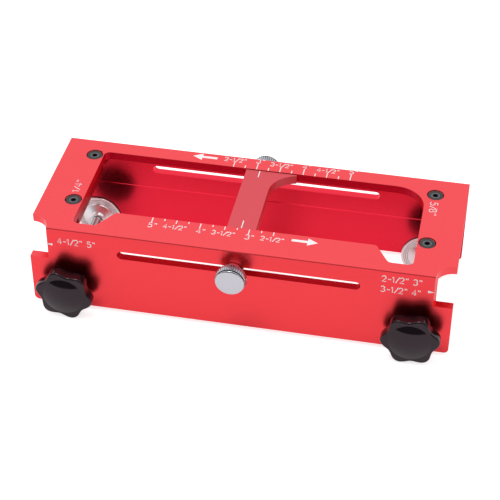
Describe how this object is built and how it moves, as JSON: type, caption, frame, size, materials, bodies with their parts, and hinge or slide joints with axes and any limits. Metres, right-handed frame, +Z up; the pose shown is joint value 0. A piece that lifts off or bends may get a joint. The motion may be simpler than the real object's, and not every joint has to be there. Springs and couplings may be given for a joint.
{
  "type": "door hinge jig",
  "caption": "Aluminium channel that clamps over a door's edge and guides a router bit to cut a hinge recess, with a sliding length stop.",
  "frame": {"origin": "middle of the bounding box in X and Y, at the height of the lowest lobe of the clamp knobs", "axes": "+X along the channel to the right as seen from the clamp knobs' side, +Y from the clamp knobs' side to the back wall, +Z up to the router's face"},
  "size_m": [0.22, 0.1041, 0.0512],
  "materials": {
    "red_anodised": "satin red anodised",
    "black_oxide": "black oxide",
    "bright_nickel": "bright nickel plate",
    "zinc_steel": "bright zinc plate",
    "black_plastic": "moulded, semi-gloss black",
    "black_rubber": "matt black rubber"
  },
  "bodies": {
    "channel": {"channel_body": "red_anodised", "door_stop_left": "red_anodised", "door_stop_right": "red_anodised", "stop_screw_1": "black_oxide", "stop_screw_2": "black_oxide", "stop_screw_3": "black_oxide", "stop_screw_4": "black_oxide"},
    "slide": {"sliding_stop": "red_anodised"},
    "thumb_front": {"thumb_screw_front": "bright_nickel"},
    "thumb_back": {"thumb_screw_back": "bright_nickel"},
    "pad_left": {"clamp_pad_left": "zinc_steel", "clamp_rubber_left": "black_rubber"},
    "clamp_left": {"clamp_knob_left": "black_plastic", "clamp_stud_left": "zinc_steel"},
    "pad_right": {"clamp_pad_right": "zinc_steel", "clamp_rubber_right": "black_rubber"},
    "clamp_right": {"clamp_knob_right": "black_plastic", "clamp_stud_right": "zinc_steel"}
  },
  "joints": [
    {"name": "stop_slide", "type": "slide", "parent": "channel", "child": "slide", "axis": [1, 0, 0], "range_m": [-0.059, 0.0565]},
    {"name": "thumb_front_turn", "type": "hinge", "parent": "slide", "child": "thumb_front", "pos_m": [-0.00175, -0.0505, 0.03923], "axis": [0, -1, 0], "range_deg": [0, 360]},
    {"name": "thumb_back_turn", "type": "hinge", "parent": "slide", "child": "thumb_back", "pos_m": [-0.00175, 0.0505, 0.03923], "axis": [0, 1, 0], "range_deg": [0, 360]},
    {"name": "clamp_left_travel", "type": "slide", "parent": "channel", "child": "pad_left", "axis": [0, 1, 0], "range_m": [-0.05, 0.0012]},
    {"name": "clamp_left_turn", "type": "hinge", "parent": "pad_left", "child": "clamp_left", "pos_m": [-0.0907, -0.046, 0.01473], "axis": [0, 1, 0], "range_deg": [-18010, 440]},
    {"name": "clamp_right_travel", "type": "slide", "parent": "channel", "child": "pad_right", "axis": [0, 1, 0], "range_m": [-0.05, 0.0012]},
    {"name": "clamp_right_turn", "type": "hinge", "parent": "pad_right", "child": "clamp_right", "pos_m": [0.0907, -0.046, 0.01473], "axis": [0, 1, 0], "range_deg": [-18010, 440]}
  ],
  "couplings": [
    {"joint": "clamp_left_turn", "follows": "clamp_left_travel", "rad_per_m": 6283.2},
    {"joint": "clamp_right_turn", "follows": "clamp_right_travel", "rad_per_m": 6283.2}
  ]
}
